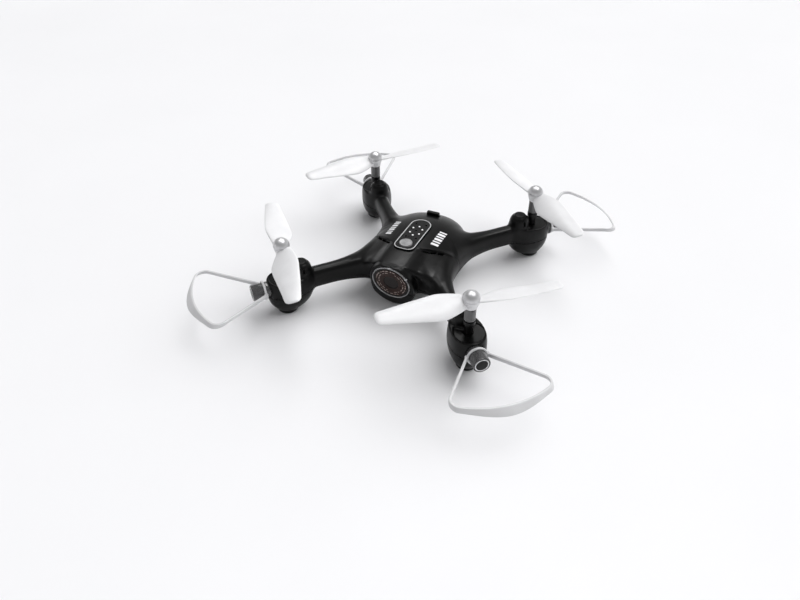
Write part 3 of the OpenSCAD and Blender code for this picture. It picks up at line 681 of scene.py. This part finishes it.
def cover_field(p):
    """Small rounded block of the rear port cover."""
    x, y, z = p.T
    return smax(smax(np.abs(x) - 4.0, np.abs(y - 27.0) - 1.2, 0.6), np.abs(z - 30.9) - 1.5, 0.6)


def make_cover(look):
    vertices, faces, normals = carve(cover_field, (-4.6, 25.2, 28.8), (4.6, 28.8, 33.0), 0.22)
    piece("port_cover_block", vertices, faces, look["shell"], replaces=("port_cover",), slot="black_shell",
        normals=normals)


def bar_on_deck(x0, x1, y0, y1, slant):
    """Thin printed bar that follows the deck, skinned from cross sections along X."""
    rings = []
    for u in np.linspace(0, 1, 9):
        ys = y0 + (y1 - y0) * np.linspace(0, 1, 3) + slant * u
        xs = np.full(3, x0 + (x1 - x0) * u)
        zs = deck_height(xs, ys)
        upper, lower = np.stack([xs, ys, zs + 0.05], 1), np.stack([xs, ys, zs - 0.25], 1)
        rings.append(np.vstack([upper, lower[::-1]]))
    return loft(rings)


def make_print(look):
    """Plain bars where the real deck carries its maker's print."""
    parts = []
    for y, wide in ((-4.6, 1.9), (-1.6, 1.2), (0.7, 1.9), (3.7, 1.2), (6.0, 1.9), (9.0, 1.2)):
        parts.append(bar_on_deck(12.0, 16.2, y - 1.6, y - 1.6 + wide, 1.0))
    for y, wide in ((-4.8, 1.7), (-2.2, 1.0), (-0.2, 1.7), (2.4, 1.0), (4.4, 1.7), (7.0, 1.0), (9.0, 1.2)):
        parts.append(bar_on_deck(-17.4, -13.6, y, y + wide, -0.9))
    parts = [(vertices, outward(vertices, faces)) for vertices, faces in parts]
    piece("deck_print", *join(parts), look["mark"])


# ---------------------------------------------------------------- camera


def make_bezel(look):
    """Narrow bright ring with one tab on its upper left."""
    profile = soften([(WINDOW_R + 0.5, -1.6), (BEZEL_R, -1.6), (BEZEL_R, -0.3), (BEZEL_R - 0.2, 0.1),
        (WINDOW_R + 0.7, 0.1), (WINDOW_R + 0.5, -0.1)], 0.1, closed=True)
    vertices, faces = lathe(profile, 120)
    parts = [(at_camera(vertices), faces)]
    near, far = WINDOW_R + 0.3, WINDOW_R + 2.2
    tab = soften([(near, -0.8), (far, -0.55), (far, 0.55), (near, 0.8)], 0.4, closed=True)
    rings = [[(x, y, z) for x, y in tab] for z in (-1.0, 0.0, 0.15)]
    vertices, faces = loft(rings)
    parts.append((at_camera(vertices @ turn_about_z(math.radians(33)).T), faces))
    parts = [(v, outward(v, f)) for v, f in parts]
    piece("camera_bezel_ring", *join(parts), look["ring"], replaces=("camera_bezel",), slot="bright_ring")


def make_window(look):
    """Dark glass, dished in the middle, with a tinted band round the dish."""
    profile = soften([(0, -1.4), (WINDOW_R + 0.45, -1.4), (WINDOW_R + 0.45, -0.35), (9.9, -0.3), (9.6, -0.4),
        (5.0, -0.4), (4.8, -0.3), (4.5, -0.3), (4.3, -0.65), (0, -0.5)], 0.12)
    vertices, faces = lathe(profile, 120, closed=False)
    vertices = at_camera(vertices)
    piece("camera_window_disc", vertices, outward(vertices, faces), look["glass"],
        replaces=("camera_window",), slot="camera_glass")
    band = soften([(4.7, -0.47), (9.5, -0.47), (9.5, -0.21), (4.7, -0.21)], 0.05, closed=True)
    vertices, faces = lathe(band, 120)
    vertices = at_camera(vertices)
    piece("camera_band", vertices, outward(vertices, faces), look["tint"])


def dial_bar(r0, r1, a0, a1, z0, z1):
    """Short curved mark on the camera window."""
    steps = max(2, int((a1 - a0) / 0.05) + 1)
    rings = [
        [(r * math.cos(a), r * math.sin(a), z) for r, z in ((r0, z0), (r1, z0), (r1, z1), (r0, z1))]
        for a in np.linspace(a0, a1, steps)
    ]
    vertices, faces = loft(rings)
    return at_camera(vertices), faces


def make_dial(look):
    """Two broken rings of plain marks on the band."""
    parts = []
    for r0, r1, count in ((8.65, 9.15, 26), (7.2, 7.6, 18)):
        step = 2 * math.pi / count
        for k in range(count):
            if k % 9 == 4:
                continue
            share = 0.72 if k % 3 else 0.4
            vertices, faces = dial_bar(r0, r1, step * k, step * (k + share), -0.35, -0.17)
            parts.append((vertices, outward(vertices, faces)))
    piece("camera_dial", *join(parts), look["print"])


# ---------------------------------------------------------------- rotors


def blade_rings(count=48, around=28):
    """One blade along +X, leading edge towards +Y, with a square tip and rounded corners."""
    rings, root, corner = [], 2.2, 2.8
    stations = (0, .05, .1, .17, .24, .3, .37, .45, .62, .8, 1)
    leading = (4.4, 5.2, 5.9, 6.7, 7.35, 7.75, 7.7, 7.4, 6.8, 6.0, 5.0)
    trailing = (3.2, 4.0, 5.0, 6.15, 7.2, 7.6, 7.4, 6.85, 5.5, 4.1, 2.8)
    for u in np.concatenate([np.linspace(0, 0.9, count), np.linspace(0.905, 1.0, 16)]):
        x = root + u * (PROP_R - root)
        lead, trail = np.interp(u, stations, leading), np.interp(u, stations, trailing)
        chord, sweep = lead + trail, (lead - trail) / 2
        over = max(0.0, x - (PROP_R - corner))
        cut = corner - math.sqrt(max(0.0, corner**2 - over**2))
        chord -= 2 * cut
        thick = (1.5 - 0.8 * min(1, u * 1.6)) * (1 - 0.75 * (cut / corner) ** 2)
        twist = math.radians(np.interp(u, (0, .3, 1), (24, 20, 9)))
        camber = 0.9 * (chord / (chord + 2 * cut)) ** 2
        ring = []
        for a in np.linspace(0, 2 * math.pi, around, endpoint=False):
            c = squarish(math.cos(a), 0.6)
            h = squarish(math.sin(a), 0.6) * thick / 2 + camber * (1 - c * c)
            c *= chord / 2
            ring.append((x, sweep + c * math.cos(twist) - h * math.sin(twist),
                RIM_Z - 1.5 + c * math.sin(twist) + h * math.cos(twist)))
        rings.append(ring)
    return rings


def make_propeller(name, corner, look):
    """Hub and two blades, and the marks on them."""
    rim = CAP_R - 0.15
    hub = [(0.78, HUB_Z), (3.3, HUB_Z), (rim, HUB_Z + 4.1), (rim, RIM_Z - 0.1), (0.78, RIM_Z - 0.1)]
    vertices, faces = lathe(soften(hub, 0.35, closed=True), 72)
    parts = [(vertices, outward(vertices, faces))]
    for turn in (1, -1):
        vertices, faces = loft(blade_rings())
        vertices = vertices * [turn, turn, 1]
        parts.append((vertices, outward(vertices, faces)))
    vertices, faces = at_rotor(corner, *join(parts))
    piece(f"blades_{name}", vertices, faces, look["white"], f"rotor_{name}", (f"propeller_{name}",),
        "white_plastic", sharp=38)
    make_blade_marks(name, corner, look)


def make_blade_marks(name, corner, look):
    """One plain dash near the root of each blade."""
    parts = []
    for side in (1, -1):
        dash = soften([(8.2, 0.4), (8.7, 0.3), (9.5, 2.8), (9.0, 2.9)], 0.1, closed=True)
        rings = [[(side * x, side * y, RIM_Z + z + 0.42 * y) for x, y in dash] for z in (-0.85, -0.42)]
        vertices, faces = loft(rings)
        parts.append((vertices, outward(vertices, faces)))
    vertices, faces = at_rotor(corner, *join(parts))
    piece(f"blade_marks_{name}", vertices, faces, look["sleeve"], f"rotor_{name}")


def make_cap(name, corner, look):
    """Domed cap on the hub."""
    arc = [(CAP_R * math.cos(a), RIM_Z + CAP_R * math.sin(a)) for a in np.linspace(0.03, math.pi / 2, 22)]
    profile = [(0, RIM_Z)] + [(CAP_R - 0.15, RIM_Z)] + arc[:-1] + [(0, RIM_Z + CAP_R)]
    vertices, faces = lathe(profile, 64, closed=False)
    vertices = vertices + rotor_axis(corner)
    piece(f"dome_{name}", vertices, outward(vertices, faces), look["cap"], f"rotor_{name}", (f"cap_{name}",),
        "grey_cap", sharp=40)


def sleeve_field(p):
    """Tube on the shaft with a notch at the top and a groove round it."""
    x, y, z = p.T
    r = np.hypot(x, y)
    form = smax(smax(r - 3.0, 0.78 - r, 0.2), np.abs(z - 34.34) - 3.94, 0.5)
    notch = smax(np.abs(y) - 0.6, 37.4 - z, 0.3)
    form = smax(form, -smax(notch, 2.2 - x, 0.2), 0.3)
    groove = np.hypot(r - 3.05, z - 32.0) - 0.25
    return smax(form, -groove, 0.2)


def make_sleeve(name, corner, look):
    vertices, faces, normals = carve(sleeve_field, (-3.5, -3.5, 29.9), (3.5, 3.5, 38.9), 0.26)
    turn = pod_matrix(corner)
    piece(f"collar_{name}", at_pod(corner, vertices), faces, look["sleeve"], f"rotor_{name}",
        (f"sleeve_{name}",), "dark_sleeve", normals=normals @ turn.T)


# ---------------------------------------------------------------- lamps and guards


def make_lamp(name, corner, look):
    """Smoked lens with a bowl reflector inside, and a ring and a dark disc on its end."""
    lens = [(0, 19.3), (4.0, 19.3), (4.0, 9.9), (LAMP_R, 9.9), (LAMP_R, 19.8), (4.35, 20.2), (3.95, 20.2),
        (3.85, 20.0), (0, 20.0)]
    vertices, faces = lathe(soften(lens, 0.15), 72, closed=False)
    vertices = at_pod(corner, along_lamp(vertices))
    piece(f"lens_{name}", vertices, outward(vertices, faces), look["lens"], replaces=(f"lamp_{name}",),
        slot="smoked_lens", sharp=40)
    ring = soften([(3.2, 20.02), (3.75, 20.02), (3.75, 20.17), (3.2, 20.17)], 0.05, closed=True)
    bowl = [(0, 12.2), (1.2, 12.2), (3.6, 18.4), (3.6, 18.8), (3.3, 18.8), (1.1, 12.9), (0, 12.9)]
    parts = []
    for profile, closed in ((ring, True), (soften(bowl, 0.1), False)):
        vertices, faces = lathe(profile, 64, closed)
        vertices = at_pod(corner, along_lamp(vertices))
        parts.append((vertices, outward(vertices, faces)))
    piece(f"reflector_{name}", *join(parts), look["reflector"], sharp=40)
    disc = soften([(0, 20.02), (3.1, 20.02), (3.1, 20.12), (0, 20.15)], 0.05)
    vertices, faces = lathe(disc, 64, closed=False)
    vertices = at_pod(corner, along_lamp(vertices))
    piece(f"lamp_disc_{name}", vertices, outward(vertices, faces), look["panel"], sharp=40)


def guard_half(side, skew):
    """Stations from the collar to the middle of the strap: place, outward direction, top, height, flare."""
    corner_r, strap_r = GUARD_CORNER - GUARD_THICK / 2, GUARD_R - GUARD_THICK / 2
    knuckle, top, tip = np.array([KNUCKLE_S, side * 5.6]), GUARD_TOP, side * GUARD_HALF + skew
    centre = (strap_r - corner_r) * heading(tip)
    span = centre - knuckle
    bar = math.atan2(span[1], span[0]) + side * math.asin(corner_r / np.linalg.norm(span))
    start = bar + side * math.pi / 2
    meet = centre + corner_r * heading(start)
    stations = []
    for t in np.linspace(0, 0.96, 20):
        rise = LAMP_Z + 1 + (top - LAMP_Z - 1) * t
        stations.append((knuckle + t * (meet - knuckle), start, rise, 2.0 + 0.3 * (1 - t), 0.0))
    for t in np.linspace(0, 0.95, 18):
        a, ease = start + t * (tip - start), t * t * (3 - 2 * t)
        stations.append((centre + corner_r * heading(a), a, top, 2.0 + 0.4 * ease, 1.3 * ease))
    for t in np.linspace(0, 0.97, 24):
        a, ease = tip + t * (skew - tip), t * t * (3 - 2 * t)
        stations.append((strap_r * heading(a), a, top, 2.4 + 1.0 * ease, 1.3 + 2.1 * ease))
    return stations


def make_guard(name, corner, look):
    """Wire guard in one sweep from knuckle to knuckle, with its collar on the lamp and two knobs."""
    skew = GUARD_SKEW * corner[0] * corner[1]
    middle = ((GUARD_R - GUARD_THICK / 2) * heading(skew), skew, GUARD_TOP, 3.4, 3.4)
    path = guard_half(1, skew) + [middle] + guard_half(-1, skew)[::-1]
    rings = []
    for place, a, top, height, flare in path:
        ring = []
        for b in np.linspace(0, 2 * math.pi, 20, endpoint=False):
            u, v = squarish(math.cos(b), 0.4), squarish(math.sin(b), 0.4)
            x, y = place + (GUARD_THICK / 2 * u + flare * (1 - v) / 2) * heading(a)
            ring.append((x, y, top - height / 2 * (1 - v)))
        rings.append(ring)
    vertices, faces = loft(rings)
    parts = [(at_pod(corner, vertices), faces)]
    inner = LAMP_R + 0.02
    collar = [(inner, 12.6), (5.55, 12.6), (5.55, 13.8), (inner, 13.8)]
    vertices, faces = lathe(soften(collar, 0.3, closed=True), 72)
    parts.append((at_pod(corner, along_lamp(vertices)), faces))
    for side in (1, -1):
        knob = soften([(0, 15.6), (1.05, 15.6), (1.05, 18.2), (0, 18.2)], 0.4)
        vertices, faces = lathe(knob, 20, closed=False)
        parts.append((at_pod(corner, vertices + [KNUCKLE_S, side * 5.5, 0]), faces))
    parts = [(v, outward(v, f)) for v, f in parts]
    piece(f"hoop_{name}", *join(parts), look["guard"], replaces=(f"guard_{name}",), slot="guard_plastic",
        sharp=50)


# ---------------------------------------------------------------- carried-over nodes


def dress_nodes(look):
    """A procedural material on every CAD node that stays."""
    kinds = {
        "main_board": "board", "camera_board": "board", "tact_switch": "panel", "battery_lead": "red",
        "battery_hatch": "shell", "battery": "cell", "hatch_screw": "steel", "case_screws": "steel",
        "camera_module": "panel", "shaft_bushes": "bronze", "motor_leads": "blue", "motor_mount": "panel",
        "motor": "steel", "shaft": "steel", "drive_gear": "gear", "pinion": "brass", "upper_shell": "shell",
        "lower_shell": "shell", "deck_panel": "panel", "deck_lights": "light", "power_button": "button",
        "port_cover": "shell", "camera_bezel": "ring", "camera_window": "glass", "propeller": "white",
        "cap": "cap", "sleeve": "sleeve", "lamp": "lens", "guard": "guard",
    }
    for node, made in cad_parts.items():
        key = max((k for k in kinds if node.startswith(k)), key=len)
        for slot in made.material_slots:
            slot.material = look[kinds[key]]


# ---------------------------------------------------------------- stage


def soft_light(name, place, angle, strength, shine):
    """A far studio light. Shining lights make the highlights, the others light the matt surfaces."""
    data = bpy.data.lights.new(name, "SUN")
    data.angle, data.energy = math.radians(angle), strength
    lamp = bpy.data.objects.new(name, data)
    lamp.rotation_euler = (-Vector(place)).to_track_quat("-Z", "Y").to_euler()
    lamp.visible_glossy, lamp.visible_diffuse = shine, not shine
    bpy.context.scene.collection.objects.link(lamp)


def make_world():
    """Even studio light, brighter in a low band so that the floor runs into a pale backdrop."""
    world = bpy.data.worlds.new("studio")
    bpy.context.scene.world = world
    world.use_nodes = True
    tree = world.node_tree
    coord = tree.nodes.new("ShaderNodeTexCoord")
    parts = tree.nodes.new("ShaderNodeSeparateXYZ")
    tree.links.new(coord.outputs["Generated"], parts.inputs["Vector"])
    tree.nodes["Background"].inputs["Color"].default_value = (1, 1, 1, 1)
    tree.links.new(spread(tree, parts.outputs["Z"], 0.92, 0.31, (0.12, 0.32)),
        tree.nodes["Background"].inputs["Strength"])


def make_stage():
    """Pale floor, world and lights."""
    material = surface("pale_floor", grey(0.86), grey(0.88), (0.55, 0.65), cloud=4, smudge=12, grain=300,
        bump=0.01)
    mesh = bpy.data.meshes.new("floor")
    mesh.from_pydata([(-6, -6, 0), (6, -6, 0), (6, 6, 0), (-6, 6, 0)], [], [(0, 1, 2, 3)])
    mesh.materials.append(material)
    floor = bpy.data.objects.new("floor", mesh)
    bpy.context.scene.collection.objects.link(floor)
    make_world()
    soft_light("wash", (0.26, 0.42, 0.62), 76, 3.0, False)
    soft_light("key", (0.22, 0.31, 0.90), 20, 1.2, True)
    soft_light("back", (-0.23, 0.56, 0.79), 16, 0.55, True)
    soft_light("top", (-0.33, 0.12, 0.94), 18, 0.45, True)
    bpy.context.scene.view_settings.view_transform = "Standard"


def make_view():
    data = bpy.data.cameras.new("view")
    data.lens, data.sensor_width = 29.475, 36.0
    data.clip_start = 0.01
    camera = bpy.data.objects.new("view", data)
    camera.location = (0.1278, -0.2970, 0.2432)
    aim = Vector((0.02348, -0.07231, 0.0434)) - camera.location
    camera.rotation_euler = aim.to_track_quat("-Z", "Y").to_euler()
    bpy.context.scene.collection.objects.link(camera)
    bpy.context.scene.camera = camera


look = make_materials()
make_view()
make_stage()
dress_nodes(look)
make_shells(look)
make_panel(look)
make_lights(look)
make_button(look)
make_cover(look)
make_print(look)
make_bezel(look)
make_window(look)
make_dial(look)
for name, corner in CORNERS.items():
    make_propeller(name, corner, look)
    make_cap(name, corner, look)
    make_sleeve(name, corner, look)
    make_lamp(name, corner, look)
    make_guard(name, corner, look)
